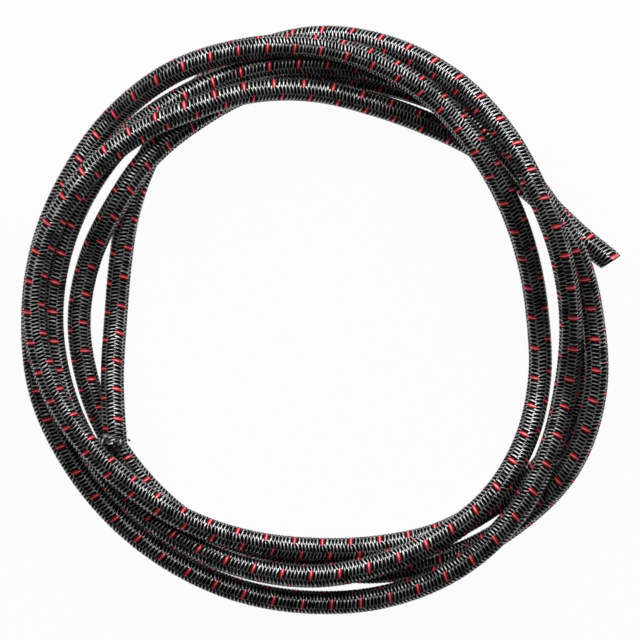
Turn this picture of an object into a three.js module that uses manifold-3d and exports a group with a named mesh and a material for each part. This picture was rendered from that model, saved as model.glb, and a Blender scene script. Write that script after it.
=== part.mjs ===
// A loose coil of elastic tarp cord, in millimetres, as it lies on a flat surface with both ends free.
// The cord is a braided sheath round a rubber core. Its turns cross over and under each other as the
// hand left them, so each turn has its own radii and its own heights, at even steps of angle.
import * as THREE from "three";
import { mergeVertices } from "three/addons/utils/BufferGeometryUtils.js";
import Module from "manifold-3d";

// Driving dimensions of the cord.
const CORE_DIAMETER = 4.9;
const CORE_CLEARANCE = 0.35;
const SHEATH_WALL = 1.2;
const FLAT_SHARE = 0.1;
const SIDES = 6;

// The middle of the turns, which puts the coil's outline square over the origin.
const COIL_CENTRE_X = -1.7;
const COIL_CENTRE_Y = 0.25;

// The route, turn by turn from the free end, every 15 degrees counter-clockwise from +X.
// Radii are from the coil's middle to the cord's middle. Rises are above the cord's height on the floor.
const STEPS_PER_TURN = 24;
const STEP_ANGLE = (2 * Math.PI) / STEPS_PER_TURN;
const FREE_END = { angle: THREE.MathUtils.degToRad(11.2), radius: 102.4, rise: 0 };
const FUSED_END = { angle: THREE.MathUtils.degToRad(212.2), radius: 80, rise: 9 };
const FIRST_STEP = 1;
const TURN_RADII = [
  [
    97.2, 86, 81, 77, 76, 78, 80.5, 83, 88, 92.5, 95.5,
    95.5, 92.5, 88, 83.5, 80.5, 78.5, 78, 80, 84, 87.5, 92.5, 94.5,
  ],
  [
    90.5, 88.5, 87, 89, 85.7, 83.6, 83, 81.5, 79.5, 79, 78.2, 79.3,
    80.2, 80, 80.2, 80.5, 81.5, 82.5, 84, 88.5, 93, 97, 100, 98.5,
  ],
  [
    94.5, 91.5, 87.5, 86.5, 87.1, 87.1, 87.4, 88, 88, 89.1, 89.3, 89.5,
    89.5, 89, 88.5, 87.8, 87.4, 87.2, 87, 86, 85.5, 85, 82.5, 79,
  ],
  [
    75.8, 75.3, 76.8, 80, 85, 89.5, 93, 95, 97, 96.9, 96, 96,
    96, 96.5, 95.5, 95, 95, 95.5, 96, 97, 97, 95, 91.5, 88.2,
  ],
  [87, 86.5, 87.2, 90.5, 94, 96, 96, 92.5, 86.5, 79.5, 73.2, 68.7, 67.8, 71.3, 78.5],
];
const TURN_RISES = [
  [0, 0, 0, 1, 4, 7.5, 12.5, 16.5, 14.5, 14, 12, 12, 13.5, 14.5, 13.5, 12, 10.5, 6.5, 3.5, 0, 0, 0, 0],
  [0, 7, 9, 6.5, 0, 0, 0, 0, 7.5, 8.5, 8, 1.5, 0, 0, 0, 0, 0, 0, 0, 0, 0, 0, 5, 8],
  [8.5, 15.5, 17.5, 15, 9, 8.5, 7.5, 8, 9, 5.5, 5.5, 5.5, 5.5, 5.5, 5.5, 5.5, 6.5, 7.5, 9, 10, 9, 9, 4.5, 0],
  [2, 9, 17, 21, 18.5, 17, 14, 13.5, 10, 0, 0, 0, 0, 0, 0, 0, 0, 0, 0, 3.5, 8, 9.5, 9, 7.5],
  [15, 24, 27, 23, 16, 8.5, 2.5, 0, 0, 0, 0, 0, 0, 4.5, 9],
];

// Sizes worked out from those above.
const CORE_RADIUS = CORE_DIAMETER / 2;
const BORE_RADIUS = CORE_RADIUS + CORE_CLEARANCE;
const CORD_RADIUS = BORE_RADIUS + SHEATH_WALL;
const CORD_DIAMETER = 2 * CORD_RADIUS;
const FLAT_DEPTH = FLAT_SHARE * CORD_DIAMETER;
const FLOOR_HEIGHT = CORD_RADIUS - FLAT_DEPTH;

// The least gap is measured between points this close together, on stretches at least half a turn apart.
const GAP_POINT_SPACING = 1;
const UP = new THREE.Vector3(0, 0, 1);

const wasm = await Module();
wasm.setup();

// The cord's middle line as points, one for each step of the coil and one for each end.
function routePoints() {
  const pointAt = (angle, radius, rise) =>
    new THREE.Vector3(
      COIL_CENTRE_X + radius * Math.cos(angle),
      COIL_CENTRE_Y + radius * Math.sin(angle),
      FLOOR_HEIGHT + rise,
    );
  const points = [pointAt(FREE_END.angle, FREE_END.radius, FREE_END.rise)];
  const radii = TURN_RADII.flat();
  const rises = TURN_RISES.flat();
  radii.forEach((radius, step) => {
    points.push(pointAt((step + FIRST_STEP) * STEP_ANGLE, radius, rises[step]));
  });
  points.push(pointAt(FUSED_END.angle, FUSED_END.radius, FUSED_END.rise));
  return points;
}

// One ring of corners round the cord at each route point. A turned ring has a flat underneath, not a corner.
function ringsAlong(points, radius, turned) {
  const firstCorner = -Math.PI / 2 + (turned ? Math.PI / SIDES : 0);
  return points.map((point, i) => {
    const before = points[Math.max(i - 1, 0)];
    const after = points[Math.min(i + 1, points.length - 1)];
    const along = after.clone().sub(before).normalize();
    const across = UP.clone().cross(along).normalize();
    const above = along.clone().cross(across);
    return Array.from({ length: SIDES }, (_, corner) => {
      const angle = firstCorner + (corner * 2 * Math.PI) / SIDES;
      return point
        .clone()
        .addScaledVector(across, radius * Math.cos(angle))
        .addScaledVector(above, radius * Math.sin(angle));
    });
  });
}

// Two triangles for the four-sided face a, b, c, d, listed counter-clockwise as seen from outside.
function addFace(corners, a, b, c, d) {
  corners.push(a, b, c, a, c, d);
}

// The long faces of a tube. They look outwards, or inwards for a bore.
function addWall(corners, rings, outward) {
  for (let i = 0; i + 1 < rings.length; i++) {
    for (let k = 0; k < SIDES; k++) {
      const next = (k + 1) % SIDES;
      const face = [rings[i][k], rings[i][next], rings[i + 1][next], rings[i + 1][k]];
      addFace(corners, ...(outward ? face : face.reverse()));
    }
  }
}

// The flat end of a solid cord, fanned from its first corner.
function addCap(corners, ring, atStart) {
  for (let k = 1; k + 1 < SIDES; k++) {
    const triangle = [ring[0], ring[k], ring[k + 1]];
    corners.push(...(atStart ? triangle.reverse() : triangle));
  }
}

// The flat end of a hollow cord: the band between its outer corners and the bore's, which lie between them.
function addEndBand(corners, outer, inner, atStart) {
  for (let k = 0; k < SIDES; k++) {
    const next = (k + 1) % SIDES;
    const triangles = [
      [outer[k], outer[next], inner[k]],
      [inner[k], outer[next], inner[next]],
    ];
    triangles.forEach((triangle) => {
      corners.push(...(atStart ? triangle.reverse() : triangle));
    });
  }
}

function geometryFrom(corners) {
  const geometry = new THREE.BufferGeometry().setFromPoints(corners);
  return mergeVertices(geometry);
}

// The rubber core: a solid cord.
function coreGeometry(points) {
  const rings = ringsAlong(points, CORE_RADIUS, true);
  const corners = [];
  addWall(corners, rings, true);
  addCap(corners, rings[0], true);
  addCap(corners, rings.at(-1), false);
  return geometryFrom(corners);
}

// The sheath before it is cut flat: a tube that is open at both ends.
function sheathTube(points) {
  const outer = ringsAlong(points, CORD_RADIUS, false);
  const bore = ringsAlong(points, BORE_RADIUS, true);
  const corners = [];
  addWall(corners, outer, true);
  addWall(corners, bore, false);
  addEndBand(corners, outer[0], bore[0], true);
  addEndBand(corners, outer.at(-1), bore.at(-1), false);
  return geometryFrom(corners);
}

function toSolid(geometry) {
  const bare = geometry.clone();
  bare.deleteAttribute("normal");
  bare.deleteAttribute("uv");
  const merged = mergeVertices(bare);
  return new wasm.Manifold(
    new wasm.Mesh({
      numProp: 3,
      vertProperties: merged.getAttribute("position").array,
      triVerts: new Uint32Array(merged.index.array),
    }),
  );
}

function toGeometry(solid) {
  const mesh = solid.getMesh();
  const geometry = new THREE.BufferGeometry();
  geometry.setAttribute("position", new THREE.BufferAttribute(mesh.vertProperties, 3));
  geometry.setIndex(new THREE.BufferAttribute(mesh.triVerts, 1));
  return geometry;
}

// Takes off what lies below the floor, so that the lowest turns stand on narrow flats.
function cutFlat(geometry) {
  geometry.computeBoundingBox();
  const size = geometry.boundingBox.getSize(new THREE.Vector3());
  const middle = geometry.boundingBox.getCenter(new THREE.Vector3());
  const below = new THREE.BoxGeometry(size.x + CORD_DIAMETER, size.y + CORD_DIAMETER, CORD_DIAMETER);
  below.translate(middle.x, middle.y, -CORD_DIAMETER / 2);
  return toGeometry(toSolid(geometry).subtract(toSolid(below)));
}

// The least distance between the surfaces of stretches that lie at least half a turn apart.
function leastGap(points) {
  const samples = [];
  for (let i = 0; i + 1 < points.length; i++) {
    const count = Math.ceil(points[i].distanceTo(points[i + 1]) / GAP_POINT_SPACING);
    for (let k = 0; k < count; k++) {
      samples.push({ at: points[i].clone().lerp(points[i + 1], k / count), step: i + k / count });
    }
  }
  let least = Infinity;
  for (const a of samples) {
    for (const b of samples) {
      if (b.step - a.step > STEPS_PER_TURN / 2) {
        least = Math.min(least, a.at.distanceTo(b.at) - CORD_DIAMETER);
      }
    }
  }
  return least;
}

function cordMaterial(color, roughness) {
  return new THREE.MeshStandardMaterial({ color, roughness, metalness: 0 });
}

const group = new THREE.Group();
const points = routePoints();

const sheath = new THREE.Mesh(cutFlat(sheathTube(points)), cordMaterial("#1c1c1e", 0.45));
sheath.geometry.computeVertexNormals();
sheath.name = "braided_sheath";
group.add(sheath);

const core = new THREE.Mesh(coreGeometry(points), cordMaterial("#2a2422", 0.8));
core.geometry.computeVertexNormals();
core.name = "rubber_core";
group.add(core);

console.log("least gap between turns, mm:", leastGap(points).toFixed(2));

export default group;
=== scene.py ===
"""A loose coil of black braided elastic cord with red tracers, on white, seen from straight above.

Metres, +Z up, +X right and +Y up in the camera's view. The coil runs counter-clockwise from its
free cut end at the upper right to its heat-fused end inside the turns at the lower left.
"""

import math
import random

import bmesh
import bpy
import numpy as np
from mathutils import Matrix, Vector, noise


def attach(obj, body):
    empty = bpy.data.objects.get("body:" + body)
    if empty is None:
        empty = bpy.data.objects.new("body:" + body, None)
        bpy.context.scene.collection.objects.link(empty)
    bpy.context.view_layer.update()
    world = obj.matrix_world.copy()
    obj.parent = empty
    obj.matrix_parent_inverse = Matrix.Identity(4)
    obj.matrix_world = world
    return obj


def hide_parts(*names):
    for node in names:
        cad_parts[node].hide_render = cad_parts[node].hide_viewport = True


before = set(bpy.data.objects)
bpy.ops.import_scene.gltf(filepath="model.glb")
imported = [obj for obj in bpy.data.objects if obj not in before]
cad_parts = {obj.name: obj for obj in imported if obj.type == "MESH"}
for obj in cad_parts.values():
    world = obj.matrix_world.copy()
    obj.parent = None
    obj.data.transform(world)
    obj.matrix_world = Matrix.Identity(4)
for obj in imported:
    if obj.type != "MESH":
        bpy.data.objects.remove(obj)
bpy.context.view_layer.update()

MM = 0.001

# The cord.
CORD_RADIUS = 4.0 * MM
FLAT_DEPTH = 0.8 * MM
FLOOR_HEIGHT = CORD_RADIUS - FLAT_DEPTH
BORE_RADIUS = 2.8 * MM
CORE_RADIUS = 2.45 * MM

# The route, in metres: the middle of the turns, then each turn's radii and rises every 15 degrees.
# Radii run from the coil's middle to the cord's middle. Rises are above the cord's height on the floor.
# An end is its route angle, which goes on from turn to turn, its radius and its rise.
COIL_CENTRE = (-0.0017, 0.00025)
STEP_ANGLE = 15
FREE_END = (11.2, 0.1024, 0.0)
FUSED_END = (4 * 360 + 212.2, 0.080, 0.009)
TURN_RADII = (
    (
        0.0972, 0.086, 0.081, 0.077, 0.076, 0.078, 0.0805, 0.083, 0.088, 0.0925, 0.0955,
        0.0955, 0.0925, 0.088, 0.0835, 0.0805, 0.0785, 0.078, 0.080, 0.084, 0.0875, 0.0925, 0.0945,
    ),
    (
        0.0905, 0.0885, 0.087, 0.089, 0.0857, 0.0836, 0.083, 0.0815, 0.0795, 0.079, 0.0782, 0.0793,
        0.0802, 0.080, 0.0802, 0.0805, 0.0815, 0.0825, 0.084, 0.0885, 0.093, 0.097, 0.100, 0.0985,
    ),
    (
        0.0945, 0.0915, 0.0875, 0.0865, 0.0871, 0.0871, 0.0874, 0.088, 0.088, 0.0891, 0.0893, 0.0895,
        0.0895, 0.089, 0.0885, 0.0878, 0.0874, 0.0872, 0.087, 0.086, 0.0855, 0.085, 0.0825, 0.079,
    ),
    (
        0.0758, 0.0753, 0.0768, 0.080, 0.085, 0.0895, 0.093, 0.095, 0.097, 0.0969, 0.096, 0.096,
        0.096, 0.0965, 0.0955, 0.095, 0.095, 0.0955, 0.096, 0.097, 0.097, 0.095, 0.0915, 0.0882,
    ),
    (
        0.087, 0.0865, 0.0872, 0.0905, 0.094, 0.096, 0.096, 0.0925,
        0.0865, 0.0795, 0.0732, 0.0687, 0.0678, 0.0713, 0.0785,
    ),
)
TURN_RISES = (
    (
        0, 0, 0, 0.001, 0.004, 0.0075, 0.0125, 0.0165, 0.0145, 0.014, 0.012,
        0.012, 0.0135, 0.0145, 0.0135, 0.012, 0.0105, 0.0065, 0.0035, 0, 0, 0, 0,
    ),
    (
        0, 0.007, 0.009, 0.0065, 0, 0, 0, 0, 0.0075, 0.0085, 0.008, 0.0015,
        0, 0, 0, 0, 0, 0, 0, 0, 0, 0, 0.005, 0.008,
    ),
    (
        0.0085, 0.0155, 0.0175, 0.015, 0.009, 0.0085, 0.0075, 0.008, 0.009, 0.0055, 0.0055, 0.0055,
        0.0055, 0.0055, 0.0055, 0.0055, 0.0065, 0.0075, 0.009, 0.010, 0.009, 0.009, 0.0045, 0,
    ),
    (
        0.002, 0.009, 0.017, 0.021, 0.0185, 0.017, 0.014, 0.0135, 0.010, 0, 0, 0,
        0, 0, 0, 0, 0, 0, 0, 0.0035, 0.008, 0.0095, 0.009, 0.0075,
    ),
    (0.015, 0.024, 0.027, 0.023, 0.016, 0.0085, 0.0025, 0, 0, 0, 0, 0, 0, 0.0045, 0.009),
)
STEPS_BETWEEN_KNOTS = 48

# The braid: eight columns of slanting stitches round the cord, each second one with red tracers.
# A crest is the top of a stitch. The powers below 1 make crests broad and the valleys between them narrow.
COLUMNS = 8
FACES_ACROSS = 6
ROWS_PER_STITCH = 4
STITCH_LENGTH = 1.29 * MM
CREST_RADIUS = 4.08 * MM
STITCH_DEPTH = 0.24 * MM
STITCH_SLANT = 0.6 * MM
STITCH_LAP_SHARE = 0.12
CREST_POWER = 0.5
HUMP_POWER = 0.3
LENGTH_SAMPLES = 4000

# The red marks: two stitches of each eight, drawn together into one lens that laps over its neighbours.
TRACER_EVERY = 8
TRACER_STITCHES = 2
COLUMN_LEAD = 2
FIRST_MARK = -2
MARK_REACH = 1.1
MARK_EDGE_POWER = 4
MARK_LAP_SHARE = 0.22
MARK_FILL_SHARE = 0.85
MARK_FILL_REACH = 0.4
MARK_SEAM_REACH = 0.25
PINCH_REACH = 1.6
PINCH_MIDDLE_POWER = 0.55
PINCH_SIDE_POWER = 1.1
PINCH_FADE_POWER = 6

# Where the first tracer column lies round the cord: pairs of route angle and degrees outward from the top.
TRACER_TURN = (
    (11, -50), (360, -50), (540, -25), (720, -3), (920, -3), (1005, 0), (1080, -36),
    (1142, -31), (1174, -22), (1186, 0), (1209, 12), (1350, 15), (1440, 15), (1500, 40),
    (1524, 53), (1582, 30), (1605, 60), (1652, 62),
)
# How far the braid runs ahead of even stitches, as it is stretched: pairs of route angle and stitches.
TRACER_LEAD = (
    (11, 0), (165, 1.2), (250, 1.9), (276, 2.9), (535, 8.3), (712, 14.9), (727, 13.1), (900, 17.5),
    (970, 19.9), (1000, 21.5), (1067, 20.8), (1095, 18.6), (1117, 17.6), (1165, 23.0), (1180, 24.9),
    (1200, 26.7), (1328, 29), (1370, 30), (1427, 30.6), (1454, 27.6), (1605, 31.9), (1652, 33.1),
)

# The free end is cut across at a slant, and its rim is rounded. The rim's rings run from inside the bore
# to the braid, each with its radius and its place along the cord.
CUT_SLANT = 0.31
CUT_REACH = 14 * MM
END_FADE_STITCHES = 1.5
RIM_RADII = (BORE_RADIUS, BORE_RADIUS, 3.3 * MM, 3.65 * MM)
RIM_PLACES = (3.0 * MM, 0.1 * MM, -0.35 * MM, -0.2 * MM)

# The yarn's colour has a painted sheen, pale on the crests of the stitches, and painted shade, near black
# in the valleys between them.
# The crests are shiny and the valleys dull. Roughness runs from valley to crest. Stops are pairs of place,
# from valley to crest, and colour.
YARN_ROUGHNESS = (0.9, 0.26)
BLACK_SPECULAR = 0.2
BLACK_GLOSS = 0.7
RED_SPECULAR = 0.7
RED_GLOSS = 0.55
# Black yarn: the grey crest stop is a painted sheen, and the lowest stop is painted shade in the valleys.
BLACK_SHEEN_SHADE_STOPS = ((0.65, (0.001, 0.001, 0.001)), (0.80, (0.024, 0.024, 0.025)), (1.0, (0.60, 0.60, 0.61)))
# Red yarn: red dye, with a painted pink sheen on the crests and painted dark shade in the valleys.
RED_SHEEN_SHADE_STOPS = ((0.20, (0.16, 0.001, 0.004)), (0.50, (0.75, 0.012, 0.022)), (1.0, (1.0, 0.32, 0.38)))
FILAMENT_DETAIL = 3.0
FILAMENT_ROUGHNESS = 0.6
FILAMENT_SCALE = (9.0, 1.4, 1.0)
FILAMENT_SPREAD = (0.45, 1.45)
FILAMENT_DEPTH = 0.06 * MM
FILAMENT_BUMP = 0.5
PATCH_SCALE = 0.35
PATCH_SPREAD = (0.75, 1.35)
PATCH_DETAIL = 2.0

# Other stuffs: colour stops, then roughness, specular level, the grain's scale and the grain's depth.
MELTED_STOPS = ((0.3, (0.001, 0.001, 0.001)), (0.55, (0.004, 0.004, 0.004)), (0.75, (0.03, 0.029, 0.028)))
MELTED_SURFACE = (0.3, 0.8, 900.0, 0.12 * MM)
# The folds' colour is dark melted yarn, with painted white glints at its top stop.
FOLD_GLINT_STOPS = ((0.44, (0.002, 0.002, 0.002)), (0.52, (0.04, 0.04, 0.04)), (0.58, (0.85, 0.84, 0.83)))
FOLD_SURFACE = (0.22, 1.0, 420.0, 0.08 * MM)
RUBBER_STOPS = ((0.3, (0.020, 0.018, 0.016)), (0.7, (0.06, 0.055, 0.048)))
RUBBER_SURFACE = (0.75, 0.3, 1500.0, 0.05 * MM)
GRAIN_DETAIL = 4.0
GRAIN_ROUGHNESS = 0.65
GRAIN_BUMP = 0.6
GRAIN_SMOOTHER = 0.12
GRAIN_ROUGHER = 0.15

# The core: a rod of rubber strands, a little short of the sheath's rim.
CORE_SIDES = 32
CORE_STRANDS = 8
CORE_GROOVE_SHARE = 0.08
CORE_GROOVE_POWER = 4
CORE_RECESS = 0.5 * MM
CORE_SPACING = 3 * MM

# The fused end: a lump of melted yarn with folds over it and frayed bits round it. Its radii, its shift
# from the cord's end and the fibre's places from its middle run outward, ahead and upward.
LUMP_RADII = (4.9 * MM, 3.2 * MM, 4.5 * MM)
LUMP_SHIFT = (1.4 * MM, -1.2 * MM, 0.0)
LUMP_ROUGH = 0.9 * MM
LUMP_SPACING = 2.6
LUMP_SMOOTHNESS = 0.7
LUMP_FINENESS = 2.3
LUMP_LAYERS = 4
LUMP_SUBDIVISIONS = 5
FOLD_SEED = 3
FOLD_COUNT = 22
FOLD_RADIUS = 0.4 * MM
FOLD_SPREAD = (0.7, 1.3)
FOLD_LEAST_RISE = 0.1
FOLD_END_SHARE = 0.97
FOLD_HEIGHT_SHARE = 1.2
FRAY_SEED = 7
FRAY_COUNT = 22
FRAY_RADIUS = 0.13 * MM
FRAY_SPREAD = (0.7, 1.5)
FRAY_REACH = (0.6 * MM, 1.8 * MM)
FRAY_ROOT_SHARE = 0.9
FRAY_SIDE = 0.6
FRAY_LEAN = 0.8
FIBRE_START = (-4.3 * MM, -1.2 * MM, 0.6 * MM)
FIBRE_MIDDLE = (-5.8 * MM, -1.2 * MM, 1.6 * MM)
FIBRE_END = (-6.1 * MM, -0.1 * MM, 1.0 * MM)
BEAD_RADIUS = 0.45 * MM
BEAD_SUBDIVISIONS = 3

# Each fold, frayed bit and fibre is a tapered tube.
THREAD_SIDES = 6
THREAD_STEPS = 8
THREAD_TAPER = 0.6

# The camera's frame: it looks straight down.
FRAME_WIDTH = 0.2176
CAMERA_HEIGHT = 1.0
CAMERA_Y = 0.000255

# The floor is the top of a slab, so that a view from low down has no dark edge below it.
FLOOR_SIZE = (12.0, 12.0, 1.0)
FLOOR_DROP = 0.2 * MM
FLOOR_WHITE_SHARE = 0.96
FLOOR_COLOUR = (0.4, 0.4, 0.4, 1)

# Softboxes: place, size and power in watts.
OVERHEAD_SOFTBOX = ((0.0, 0.2, 1.3), (2.4, 0.6), 0.8)
FAR_SOFTBOX = ((0.0, 1.0, 0.9), (2.4, 1.5), 33)
WORLD_STRENGTH = 0.02


def smooth_through(knots, steps):
    """Points on a smooth line through (angle, radius, rise) knots, steps of them between each two."""
    angle, values = knots[:, 0], knots[:, 1:]
    gap = np.diff(angle)[:, None]
    slope = np.diff(values, axis=0) / gap
    bend = np.empty_like(values)
    bend[1:-1] = (slope[:-1] * gap[1:] + slope[1:] * gap[:-1]) / (gap[1:] + gap[:-1])
    bend[0] = slope[0] + (slope[0] - bend[1]) / 2
    bend[-1] = slope[-1] + (slope[-1] - bend[-2]) / 2
    found = []
    for i in range(len(angle) - 1):
        t = (np.arange(steps) / steps)[:, None]
        point = (
            (2 * t**3 - 3 * t**2 + 1) * values[i]
            + (t**3 - 2 * t**2 + t) * gap[i] * bend[i]
            + (3 * t**2 - 2 * t**3) * values[i + 1]
            + (t**3 - t**2) * gap[i] * bend[i + 1]
        )
        found.append(np.hstack([angle[i] + t * gap[i], point]))
    found.append(knots[-1:])
    return np.vstack(found)


class Route:
    """The cord's middle line, by the length along it."""

    def __init__(self):
        knots = [FREE_END]
        step = 1
        for radii, rises in zip(TURN_RADII, TURN_RISES):
            for radius, rise in zip(radii, rises):
                knots.append((step * STEP_ANGLE, radius, rise))
                step += 1
        knots.append(FUSED_END)
        line = smooth_through(np.array(knots, float), STEPS_BETWEEN_KNOTS)
        turn = np.radians(line[:, 0])
        x = COIL_CENTRE[0] + line[:, 1] * np.cos(turn)
        y = COIL_CENTRE[1] + line[:, 1] * np.sin(turn)
        self.points = np.stack([x, y, FLOOR_HEIGHT + line[:, 2]], axis=1)
        gaps = np.linalg.norm(np.diff(self.points, axis=0), axis=1)
        self.along = np.concatenate([[0], np.cumsum(gaps)])
        self.length = float(self.along[-1])
        self.angle = line[:, 0]
        self.tangents = np.gradient(self.points, self.along, axis=0)

    def mixed(self, values, s):
        """The three columns of values, read off at lengths s."""
        return np.stack([np.interp(s, self.along, values[:, k]) for k in range(3)], axis=-1)

    def at(self, s):
        """The middle line's point, its direction, the way up and the way out of the coil, at lengths s."""
        inside = np.clip(s, 0, self.length)
        ahead = self.mixed(self.tangents, inside)
        ahead /= np.linalg.norm(ahead, axis=-1, keepdims=True)
        point = self.mixed(self.points, inside) + ahead * (s - inside)[..., None]
        outward = np.cross(ahead, (0.0, 0.0, 1.0))
        outward /= np.linalg.norm(outward, axis=-1, keepdims=True)
        upward = np.cross(outward, ahead)
        return point, ahead, upward, outward

    def from_table(self, table, s):
        """A (route angle, value) table's value at lengths s."""
        knots = np.array(table, float)
        return np.interp(np.interp(s, self.along, self.angle), knots[:, 0], knots[:, 1])

    def surface(self, s, angle, radius):
        """Points round the cord at lengths s. Angles run from the top outwards, the free end is slanted."""
        sideways = radius * np.sin(angle)
        slanted = s - CUT_SLANT * sideways * np.clip(1 - s / CUT_REACH, 0, 1)
        point, _, upward, outward = self.at(slanted)
        across = np.cos(angle)[..., None] * upward + np.sin(angle)[..., None] * outward
        points = point + radius[..., None] * across
        points[..., 2] = np.maximum(points[..., 2], 0)
        return points


def grid_faces(rings, around):
    """The four-sided faces of a tube with that many rings, of that many points each."""
    ring = np.arange(around)
    after = (ring + 1) % around
    first = np.arange(rings - 1)[:, None] * around
    return np.stack([first + ring, first + after, first + around + after, first + around + ring], axis=-1)


def link_piece(name, mesh, materials):
    """An object with that mesh and those materials, linked to the scene."""
    for material in materials:
        mesh.materials.append(material)
    piece = bpy.data.objects.new(name, mesh)
    bpy.context.scene.collection.objects.link(piece)
    return piece


def grid_piece(name, points, slots, uv, materials):
    """A tube from its rings of points, with a material slot and four uv corners for each face."""
    rings, around, _ = points.shape
    quads = grid_faces(rings, around).reshape(-1, 4)
    mesh = bpy.data.meshes.new(name)
    mesh.vertices.add(rings * around)
    mesh.vertices.foreach_set("co", points.astype(np.float32).ravel())
    mesh.loops.add(quads.size)
    mesh.loops.foreach_set("vertex_index", quads.astype(np.int32).ravel())
    mesh.polygons.add(len(quads))
    mesh.polygons.foreach_set("loop_start", np.arange(0, quads.size, 4, dtype=np.int32))
    mesh.update(calc_edges=True)
    piece = link_piece(name, mesh, materials)
    mesh.polygons.foreach_set("material_index", slots.astype(np.int32).ravel())
    mesh.polygons.foreach_set("use_smooth", np.ones(len(quads), bool))
    layer = mesh.uv_layers.new(name="braid")
    layer.data.foreach_set("uv", uv.astype(np.float32).ravel())
    return piece


def sharpen_valleys(mesh, around, first_row):
    """Marks the valleys between a column's stitches as sharp, but not the seam in a red mark's middle."""
    ends = np.empty(2 * len(mesh.edges), np.int32)
    mesh.edges.foreach_get("vertices", ends)
    ends = ends.reshape(-1, 2)
    ring = ends // around
    place = np.sort(ends % around, axis=1)
    wraps = place[:, 1] - place[:, 0] > 1
    column = np.where(wraps, place[:, 1], place[:, 0]) // FACES_ACROSS
    row = ring[:, 0] - first_row
    from_valley = (row + ROWS_PER_STITCH // 2 * (1 + column % 2)) % ROWS_PER_STITCH
    in_mark = (np.abs(from_mark(row / ROWS_PER_STITCH, column)) < MARK_SEAM_REACH) & (column % 2 == 0)
    sharp = (ring[:, 0] == ring[:, 1]) & (from_valley == 0) & ~in_mark
    layer = mesh.attributes.new("sharp_edge", "BOOLEAN", "EDGE")
    layer.data.foreach_set("value", sharp)


def list_piece(name, points, faces, materials):
    """A smooth piece from lists of points and faces."""
    mesh = bpy.data.meshes.new(name)
    mesh.from_pydata([tuple(point) for point in points], [], faces)
    mesh.shade_smooth()
    return link_piece(name, mesh, materials)


class Nodes:
    """A material's node tree, with short ways to add and link its nodes."""

    def __init__(self, name, roughness, specular):
        self.material = bpy.data.materials.new(name)
        self.material.use_nodes = True
        self.tree = self.material.node_tree
        self.shader = self.tree.nodes["Principled BSDF"]
        self.shader.inputs["Roughness"].default_value = roughness
        self.shader.inputs["Specular IOR Level"].default_value = specular

    def add(self, kind, **values):
        node = self.tree.nodes.new("ShaderNode" + kind)
        for key, value in values.items():
            if hasattr(node, key):
                setattr(node, key, value)
            else:
                node.inputs[key.replace("_", " ")].default_value = value
        return node

    def link(self, output, socket):
        self.tree.links.new(output, socket)

    def math(self, operation, first, second=0.0):
        """What a math node makes of an output and another output or a number."""
        node = self.add("Math", operation=operation)
        self.link(first, node.inputs[0])
        if isinstance(second, (int, float)):
            node.inputs[1].default_value = second
        else:
            self.link(second, node.inputs[1])
        return node.outputs[0]

    def ramp(self, factor, stops):
        """A colour ramp through (place, colour) stops."""
        node = self.add("ValToRGB")
        elements = node.color_ramp.elements
        while len(elements) < len(stops):
            elements.new(1.0)
        for element, (place, colour) in zip(elements, stops):
            element.position = place
            element.color = (*colour, 1)
        self.link(factor, node.inputs["Fac"])
        return node.outputs["Color"]

    def span(self, value, low, high):
        """The value, which runs from 0 to 1, made to run from low to high."""
        node = self.add("MapRange")
        node.inputs["To Min"].default_value = low
        node.inputs["To Max"].default_value = high
        self.link(value, node.inputs["Value"])
        return node.outputs["Result"]

    def bump(self, height, distance, strength):
        """Shades the surface as if it were raised by the height times the distance, at that strength."""
        node = self.add("Bump", Distance=distance, Strength=strength)
        self.link(height, node.inputs["Height"])
        self.link(node.outputs["Normal"], self.shader.inputs["Normal"])


def yarn_material(name, stops, stitches, specular, gloss):
    """Yarn by the braid's uv, in which u counts stitches and v counts columns.

    Each crest spans that many stitches. Gloss is the metallic share, which gives the crests bright strokes.
    The colour is a painted sheen on the crests and painted shade in the valleys.
    """
    nodes = Nodes(name, YARN_ROUGHNESS[0], specular)
    nodes.shader.inputs["Metallic"].default_value = gloss
    uv = nodes.add("UVMap", uv_map="braid")
    split = nodes.add("SeparateXYZ")
    nodes.link(uv.outputs["UV"], split.inputs[0])
    from_crest = nodes.math("SUBTRACT", split.outputs["X"], (stitches - 1) / 2)
    turn = nodes.math("MULTIPLY", from_crest, 2 * math.pi / stitches)
    crest = nodes.span(nodes.math("COSINE", turn), 0.0, 1.0)
    crest.node.inputs["From Min"].default_value = -1.0

    stretched = nodes.add("Mapping")
    stretched.inputs["Scale"].default_value = FILAMENT_SCALE
    nodes.link(uv.outputs["UV"], stretched.inputs["Vector"])
    filaments = nodes.add("TexNoise", Scale=1.0, Detail=FILAMENT_DETAIL, Roughness=FILAMENT_ROUGHNESS)
    nodes.link(stretched.outputs["Vector"], filaments.inputs["Vector"])
    patches = nodes.add("TexNoise", Scale=PATCH_SCALE, Detail=PATCH_DETAIL)
    nodes.link(uv.outputs["UV"], patches.inputs["Vector"])

    # The painted sheen on the crests and the painted shade in the valleys, broken up by filaments and
    # patches, set the colour and the roughness.
    sheen_and_shade = nodes.math("MULTIPLY", crest, nodes.span(filaments.outputs["Fac"], *FILAMENT_SPREAD))
    sheen_and_shade = nodes.math("MULTIPLY", sheen_and_shade, nodes.span(patches.outputs["Fac"], *PATCH_SPREAD))
    nodes.link(nodes.ramp(sheen_and_shade, stops), nodes.shader.inputs["Base Color"])
    nodes.link(nodes.span(sheen_and_shade, *YARN_ROUGHNESS), nodes.shader.inputs["Roughness"])
    nodes.bump(filaments.outputs["Fac"], FILAMENT_DEPTH, FILAMENT_BUMP)
    return nodes.material


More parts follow.
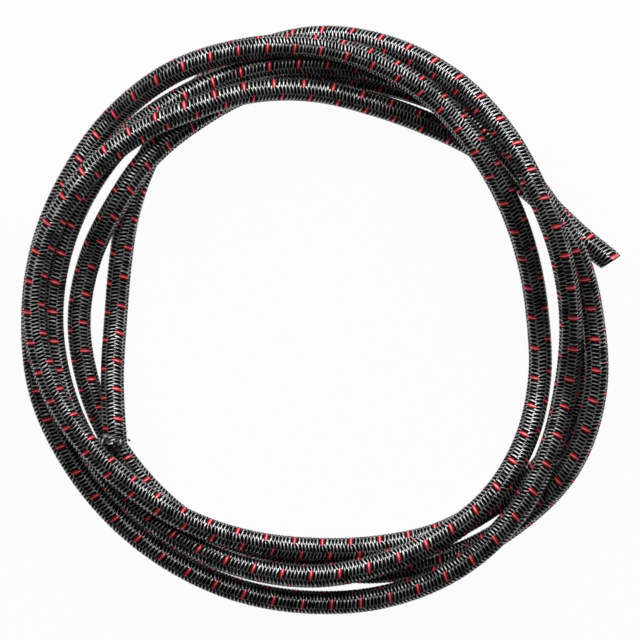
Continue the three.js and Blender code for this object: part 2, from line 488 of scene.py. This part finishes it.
def rough_material(name, stops, roughness, specular, scale, depth):
    """A stuff with a fine uneven surface, by the place on the object."""
    nodes = Nodes(name, roughness, specular)
    place = nodes.add("TexCoord")
    grain = nodes.add("TexNoise", Scale=scale, Detail=GRAIN_DETAIL, Roughness=GRAIN_ROUGHNESS)
    nodes.link(place.outputs["Object"], grain.inputs["Vector"])
    nodes.link(nodes.ramp(grain.outputs["Fac"], stops), nodes.shader.inputs["Base Color"])
    dull = nodes.span(grain.outputs["Fac"], roughness - GRAIN_SMOOTHER, roughness + GRAIN_ROUGHER)
    nodes.link(dull, nodes.shader.inputs["Roughness"])
    nodes.bump(grain.outputs["Fac"], depth, GRAIN_BUMP)
    return nodes.material


def make_camera():
    """A camera that looks straight down on the coil, without perspective."""
    data = bpy.data.cameras.new("camera")
    data.type = "ORTHO"
    data.ortho_scale = FRAME_WIDTH
    camera = bpy.data.objects.new("camera", data)
    camera.location = (0, CAMERA_Y, CAMERA_HEIGHT)
    bpy.context.scene.collection.objects.link(camera)
    bpy.context.scene.camera = camera


def braid_rows(route):
    """Each row's length along the cord, so that the stitches keep the lead that the table gives."""
    fine = np.linspace(0, route.length, LENGTH_SAMPLES)
    counted = fine / STITCH_LENGTH + route.from_table(TRACER_LEAD, fine)
    rows = int((counted[-1] - counted[0]) * ROWS_PER_STITCH)
    row = np.arange(rows + 1)
    return row, np.interp(counted[0] + row / ROWS_PER_STITCH, counted, fine)


def from_mark(stitch, column):
    """How many stitches from the middle of the nearest red mark in that tracer column."""
    behind = stitch - FIRST_MARK - COLUMN_LEAD * (column // 2) - (TRACER_STITCHES - 1) / 2
    return (behind + TRACER_EVERY / 2) % TRACER_EVERY - TRACER_EVERY / 2


def pinch(stitch, column, side):
    """How far a mark draws its rows together, in stitches. Side is 0 in its middle and 1 at its points."""
    away = np.clip(from_mark(stitch, column), -PINCH_REACH, PINCH_REACH)
    power = PINCH_MIDDLE_POWER + (PINCH_SIDE_POWER - PINCH_MIDDLE_POWER) * side**2
    return away * (np.abs(away) / PINCH_REACH) ** power - away


def lap(stitch, column):
    """How far a tracer column laps over the columns beside it, as a share of a column."""
    away = from_mark(stitch, column) / MARK_REACH
    inside = np.exp(-(away**MARK_EDGE_POWER))
    lens = MARK_LAP_SHARE * np.cos(np.pi / 2 * np.clip(away, -1, 1))
    return STITCH_LAP_SHARE * np.cos(2 * np.pi * stitch) * (1 - inside) + lens * inside


def braid_points(route, row, s):
    """The braid's rings. Neighbouring columns are half a stitch apart, and lap over each other's edges."""
    place = np.arange(COLUMNS * FACES_ACROSS)[None, :]
    row, s = row[:, None], s[:, None]
    column = place // FACES_ACROSS
    before, after = column - 1, (column + 1) % COLUMNS
    share = (place % FACES_ACROSS) / FACES_ACROSS
    plain = column % 2 == 1
    stitch = row / ROWS_PER_STITCH

    crest = (0.5 + 0.5 * np.cos(2 * np.pi * (stitch + plain / 2))) ** CREST_POWER
    fill = MARK_FILL_SHARE * np.exp(-((from_mark(stitch, column) / MARK_FILL_REACH) ** 2)) * ~plain
    lift = (crest + (1 - crest) * fill) * np.sin(np.pi * share) ** HUMP_POWER

    beside = pinch(stitch, before, 1) * (1 - share) ** PINCH_FADE_POWER
    beside = beside + pinch(stitch, after, 1) * share**PINCH_FADE_POWER
    drawn = np.where(plain, beside, pinch(stitch, column, 2 * share - 1)) * STITCH_LENGTH
    slant = np.where(plain, 1, -1) * (share - 0.5) * STITCH_SLANT

    fade = np.clip(np.minimum(row, row[-1] - row) / (END_FADE_STITCHES * ROWS_PER_STITCH), 0, 1)
    radius = CREST_RADIUS - STITCH_DEPTH * (1 - lift * fade)
    left = np.where(plain, lap(stitch, before), -lap(stitch, column))
    right = np.where(plain, -lap(stitch, after), lap(stitch, column))
    lapped = column + share - 0.5 + fade * ((1 - share) * left + share * right)
    angle = lapped * 2 * np.pi / COLUMNS + np.radians(route.from_table(TRACER_TURN, s))
    return route.surface(s + fade * (slant + drawn), angle, radius)


def rim_points(route, start, inward):
    """Rings from inside the bore over the rim. Inward is 1 at the cord's start and -1 at its far end."""
    place = np.arange(COLUMNS * FACES_ACROSS)[None, :]
    angle = (place / FACES_ACROSS - 0.5) * 2 * np.pi / COLUMNS
    angle = angle + np.radians(route.from_table(TRACER_TURN, np.array([[start]])))
    s = start + inward * np.array(RIM_PLACES)[:, None]
    radius = np.array(RIM_RADII)[:, None]
    return route.surface(*np.broadcast_arrays(s, angle, radius))


def braid_uv(rows):
    """Four uv corners for each face: stitches along, columns round."""
    place = np.arange(COLUMNS * FACES_ACROSS)
    column = place // FACES_ACROSS
    row = np.arange(rows - 1)[:, None]
    along = (row - len(RIM_PLACES)) / ROWS_PER_STITCH + (column % 2) / 2
    step = 1 / ROWS_PER_STITCH
    along, v = np.broadcast_arrays(along, place / FACES_ACROSS)
    next_v = v + 1 / FACES_ACROSS
    corners = [(along, v), (along, next_v), (along + step, next_v), (along + step, v)]
    return np.stack([np.stack(corner, axis=-1) for corner in corners], axis=-2)


def make_sheath(route, materials):
    """The whole braid with its rims. Materials are those of the black yarn and of the red marks."""
    row, s = braid_rows(route)
    first_rim = rim_points(route, s[0], 1)
    last_rim = rim_points(route, s[-1], -1)[::-1]
    points = np.concatenate([first_rim, braid_points(route, row, s), last_rim])

    column = (np.arange(COLUMNS * FACES_ACROSS) // FACES_ACROSS)[None, :]
    face_row = np.arange(-len(first_rim), len(row) - 1 + len(last_rim))[:, None]
    marked = np.abs(from_mark((face_row + 0.5) / ROWS_PER_STITCH, column)) < TRACER_STITCHES / 2
    on_braid = (face_row >= 0) & (face_row < len(row) - 1)
    red = marked & (column % 2 == 0) & on_braid
    sheath = grid_piece("braided_sheath_cord", points, red, braid_uv(len(points)), materials)
    sharpen_valleys(sheath.data, COLUMNS * FACES_ACROSS, len(first_rim))
    return sheath


def make_core(route, material):
    """The rubber rod in the sheath, grooved between its strands, closed by a face at each end."""
    s = np.linspace(CORE_RECESS, route.length - CORE_RECESS, int(route.length / CORE_SPACING))[:, None]
    angle = np.arange(CORE_SIDES)[None, :] * 2 * np.pi / CORE_SIDES
    groove = np.abs(np.cos(angle * CORE_STRANDS / 2)) ** CORE_GROOVE_POWER
    radius = CORE_RADIUS * (1 - CORE_GROOVE_SHARE * groove)
    points = route.surface(*np.broadcast_arrays(s, angle, radius))
    rings = len(points)
    faces = grid_faces(rings, CORE_SIDES).reshape(-1, 4).tolist()
    ring = list(range(CORE_SIDES))
    faces.append(ring[::-1])
    faces.append([(rings - 1) * CORE_SIDES + k for k in ring])
    return list_piece("rubber_core_cord", points.reshape(-1, 3), faces, [material])


class FusedEnd:
    """The melted end's middle and its outward, ahead and upward directions."""

    def __init__(self, route):
        point, ahead, upward, outward = (Vector(v[0]) for v in route.at(np.array([route.length])))
        self.directions = (outward, ahead, upward)
        # The lump's middle is shifted from the cord's end.
        self.middle = point
        self.middle = self.at(LUMP_SHIFT)

    def at(self, distances):
        """A place from its distances outward, ahead and upward of the middle."""
        steps = (direction * distance for direction, distance in zip(self.directions, distances))
        return sum(steps, self.middle.copy())

    def on_lump(self, unit, share, uneven=0.0):
        """A place in the direction of a unit vector, at a share of the lump's radii with uneven added."""
        return self.at([part * (radius + uneven) * share for part, radius in zip(unit, LUMP_RADII)])


def make_lump(fused, material):
    """Melted yarn over the end of the cord: a flattened ball, uneven all over."""
    mesh = bpy.data.meshes.new("melted_end")
    ball = bmesh.new()
    bmesh.ops.create_icosphere(ball, subdivisions=LUMP_SUBDIVISIONS, radius=1)
    for corner in ball.verts:
        unit = corner.co.copy()
        height = noise.fractal(unit * LUMP_SPACING, LUMP_SMOOTHNESS, LUMP_FINENESS, LUMP_LAYERS)
        corner.co = fused.on_lump(unit, 1.0, LUMP_ROUGH * height)
    ball.to_mesh(mesh)
    ball.free()
    mesh.shade_smooth()
    return link_piece("melted_end", mesh, [material])


class Threads:
    """Tapered round threads, gathered into one mesh and closed at both ends."""

    def __init__(self):
        self.points = []
        self.faces = []

    def add(self, start, middle, end, radius):
        """One thread that bends from start by middle to end."""
        first = len(self.points)
        for t in np.linspace(0, 1, THREAD_STEPS):
            here = start * (1 - t) ** 2 + middle * 2 * t * (1 - t) + end * t**2
            ahead = ((middle - start) * (1 - t) + (end - middle) * t).normalized()
            side = ahead.orthogonal().normalized()
            other = ahead.cross(side)
            size = radius * (1 - THREAD_TAPER * t)
            for turn in np.arange(THREAD_SIDES) * 2 * math.pi / THREAD_SIDES:
                self.points.append(here + (side * math.cos(turn) + other * math.sin(turn)) * size)
        ring = list(range(first, first + THREAD_SIDES))
        last = (THREAD_STEPS - 1) * THREAD_SIDES
        self.faces += (grid_faces(THREAD_STEPS, THREAD_SIDES).reshape(-1, 4) + first).tolist()
        self.faces.append(ring[::-1])
        self.faces.append([corner + last for corner in ring])


def fold_direction(draw):
    """A random direction in the upper half."""
    outward, ahead = draw.uniform(-1, 1), draw.uniform(-1, 1)
    return Vector((outward, ahead, draw.uniform(FOLD_LEAST_RISE, 1))).normalized()


def make_folds(fused, material):
    """Thick strands melted on to the lump, and one thin fibre that stands off it."""
    draw = random.Random(FOLD_SEED)
    folds = Threads()
    for _ in range(FOLD_COUNT):
        first, other = fold_direction(draw), fold_direction(draw)
        start = fused.on_lump(first, FOLD_END_SHARE)
        middle = fused.on_lump((first + other).normalized(), FOLD_HEIGHT_SHARE)
        end = fused.on_lump(other, FOLD_END_SHARE)
        folds.add(start, middle, end, FOLD_RADIUS * draw.uniform(*FOLD_SPREAD))
    folds.add(fused.at(FIBRE_START), fused.at(FIBRE_MIDDLE), fused.at(FIBRE_END), FRAY_RADIUS)
    return list_piece("melted_folds", folds.points, folds.faces, [material])


def make_bead(fused, material):
    """The bead of melted yarn at the thin fibre's tip."""
    mesh = bpy.data.meshes.new("melted_bead")
    ball = bmesh.new()
    bmesh.ops.create_icosphere(ball, subdivisions=BEAD_SUBDIVISIONS, radius=BEAD_RADIUS)
    bmesh.ops.translate(ball, verts=ball.verts, vec=fused.at(FIBRE_END))
    ball.to_mesh(mesh)
    ball.free()
    mesh.shade_smooth()
    return link_piece("melted_bead", mesh, [material])


def make_frays(fused, material):
    """Short thin threads that stand out of the lump all round."""
    draw = random.Random(FRAY_SEED)
    frays = Threads()
    outward, ahead, _ = fused.directions
    for _ in range(FRAY_COUNT):
        turn = draw.uniform(0, 2 * math.pi)
        side = draw.uniform(-FRAY_SIDE, FRAY_SIDE)
        unit = Vector((math.cos(turn), side, abs(math.sin(turn)))).normalized()
        start = fused.on_lump(unit, FRAY_ROOT_SHARE)
        reach = draw.uniform(*FRAY_REACH)
        lean = (start - fused.middle).normalized() + ahead * draw.uniform(-FRAY_LEAN, FRAY_LEAN)
        middle = start + lean * reach
        bent = lean + outward * draw.uniform(-1, 1) + ahead * draw.uniform(-1, 1)
        radius = FRAY_RADIUS * draw.uniform(*FRAY_SPREAD)
        frays.add(start, middle, middle + bent * reach / 2, radius)
    return list_piece("frayed_yarn", frays.points, frays.faces, [material])


def make_floor():
    """A pale slab that the camera, glossy and transmitted rays see as almost pure white."""
    mesh = bpy.data.meshes.new("floor")
    slab = bmesh.new()
    bmesh.ops.create_cube(slab, size=1)
    bmesh.ops.scale(slab, verts=slab.verts, vec=FLOOR_SIZE)
    slab.to_mesh(mesh)
    slab.free()
    material = bpy.data.materials.new("white table")
    material.use_nodes = True
    nodes, links = material.node_tree.nodes, material.node_tree.links
    nodes.clear()
    out = nodes.new("ShaderNodeOutputMaterial")
    mix = nodes.new("ShaderNodeMixShader")
    diffuse = nodes.new("ShaderNodeBsdfDiffuse")
    diffuse.inputs["Color"].default_value = FLOOR_COLOUR
    white = nodes.new("ShaderNodeEmission")
    path = nodes.new("ShaderNodeLightPath")
    seen = path.outputs["Is Camera Ray"]
    for name in ("Is Glossy Ray", "Is Transmission Ray"):
        either = nodes.new("ShaderNodeMath")
        either.operation = "MAXIMUM"
        links.new(seen, either.inputs[0])
        links.new(path.outputs[name], either.inputs[1])
        seen = either.outputs[0]
    share = nodes.new("ShaderNodeMath")
    share.operation = "MULTIPLY"
    share.inputs[1].default_value = FLOOR_WHITE_SHARE
    links.new(seen, share.inputs[0])
    links.new(share.outputs[0], mix.inputs["Fac"])
    links.new(diffuse.outputs[0], mix.inputs[1])
    links.new(white.outputs[0], mix.inputs[2])
    links.new(mix.outputs[0], out.inputs["Surface"])
    floor = link_piece("floor", mesh, [material])
    floor.location.z = -FLOOR_DROP - FLOOR_SIZE[2] / 2


def add_softbox(name, place, size, power):
    """A rectangular lamp that faces the coil and that the camera doesn't see."""
    data = bpy.data.lights.new(name, "AREA")
    data.shape = "RECTANGLE"
    data.size, data.size_y = size
    data.energy = power
    lamp = bpy.data.objects.new(name, data)
    lamp.location = place
    lamp.rotation_mode = "QUATERNION"
    lamp.rotation_quaternion = (-Vector(place)).to_track_quat("-Z", "Y")
    lamp.visible_camera = False
    bpy.context.scene.collection.objects.link(lamp)


def make_lights():
    """One big softbox on the far side and a faint one overhead leave the near sides of the turns dark."""
    add_softbox("overhead softbox", *OVERHEAD_SOFTBOX)
    add_softbox("far softbox", *FAR_SOFTBOX)
    world = bpy.data.worlds.new("studio")
    bpy.context.scene.world = world
    world.use_nodes = True
    background = world.node_tree.nodes["Background"]
    background.inputs["Color"].default_value = (1, 1, 1, 1)
    background.inputs["Strength"].default_value = WORLD_STRENGTH


bpy.context.scene.view_settings.view_transform = "Standard"
make_camera()
route = Route()
black_yarn = yarn_material("black yarn", BLACK_SHEEN_SHADE_STOPS, 1, BLACK_SPECULAR, BLACK_GLOSS)
red_yarn = yarn_material("red tracer yarn", RED_SHEEN_SHADE_STOPS, TRACER_STITCHES, RED_SPECULAR, RED_GLOSS)
melted = rough_material("melted yarn", MELTED_STOPS, *MELTED_SURFACE)
folded = rough_material("folded melted yarn", FOLD_GLINT_STOPS, *FOLD_SURFACE)
rubber = rough_material("rubber", RUBBER_STOPS, *RUBBER_SURFACE)

sheath = make_sheath(route, [black_yarn, red_yarn])
core = make_core(route, rubber)
fused = FusedEnd(route)
ends = [
    make_lump(fused, melted),
    make_folds(fused, folded),
    make_bead(fused, melted),
    make_frays(fused, melted),
]
for piece in (sheath, core, *ends):
    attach(piece, "root")
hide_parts("braided_sheath")
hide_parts("rubber_core")
make_floor()
make_lights()
